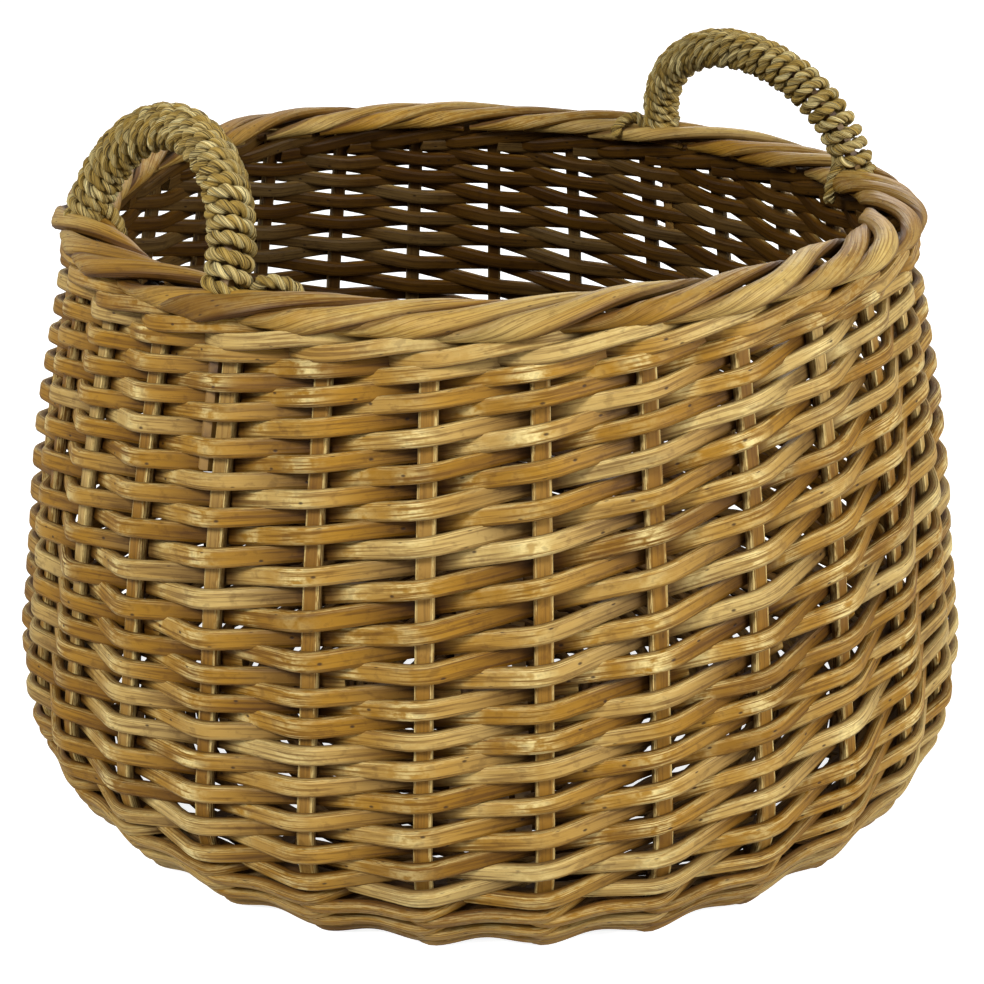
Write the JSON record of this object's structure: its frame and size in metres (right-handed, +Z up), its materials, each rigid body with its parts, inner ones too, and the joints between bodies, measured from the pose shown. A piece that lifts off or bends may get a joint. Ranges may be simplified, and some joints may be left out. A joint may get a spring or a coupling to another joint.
{
  "type": "willow basket",
  "caption": "Round open basket: woven disc base, bulging wall of rods woven on upright stakes, plaited rod border, and upright arched handles wound with cord.",
  "frame": {"origin": "on the floor, under the middle of the overall width and depth", "axes": "+Z up; -Y faces the picture's viewer; +X to the picture's right"},
  "size_m": [0.5054, 0.515, 0.3496],
  "materials": {
    "willow_stakes": "satin",
    "willow_weave": "satin",
    "willow_border": "satin",
    "willow_base": "satin",
    "seagrass": "matte"
  },
  "bodies": {
    "root": {"stake_01": "willow_stakes", "stake_02": "willow_stakes", "stake_03": "willow_stakes", "stake_04": "willow_stakes", "stake_05": "willow_stakes", "stake_06": "willow_stakes", "stake_07": "willow_stakes", "stake_08": "willow_stakes", "stake_09": "willow_stakes", "stake_10": "willow_stakes", "stake_11": "willow_stakes", "stake_12": "willow_stakes", "stake_13": "willow_stakes", "stake_14": "willow_stakes", "stake_15": "willow_stakes", "stake_16": "willow_stakes", "stake_17": "willow_stakes", "stake_18": "willow_stakes", "stake_19": "willow_stakes", "stake_20": "willow_stakes", "stake_21": "willow_stakes", "stake_22": "willow_stakes", "stake_23": "willow_stakes", "stake_24": "willow_stakes", "stake_25": "willow_stakes", "stake_26": "willow_stakes", "stake_27": "willow_stakes", "stake_28": "willow_stakes", "stake_29": "willow_stakes", "bottom_wale": "willow_weave", "siding_lower": "willow_weave", "siding_upper": "willow_weave", "top_wale": "willow_weave", "border": "willow_border", "base_stick_across_1": "willow_base", "base_stick_across_2": "willow_base", "base_stick_across_3": "willow_base", "base_stick_across_4": "willow_base", "base_stick_along_1": "willow_base", "base_stick_along_2": "willow_base", "base_stick_along_3": "willow_base", "base_stick_along_4": "willow_base", "base_weave": "willow_base", "handle_left_core": "willow_stakes", "handle_left_winding": "seagrass", "handle_left_cord_end_1": "seagrass", "handle_left_cord_end_2": "seagrass", "handle_right_core": "willow_stakes", "handle_right_winding": "seagrass", "handle_right_cord_end_1": "seagrass", "handle_right_cord_end_2": "seagrass"}
  },
  "joints": []
}
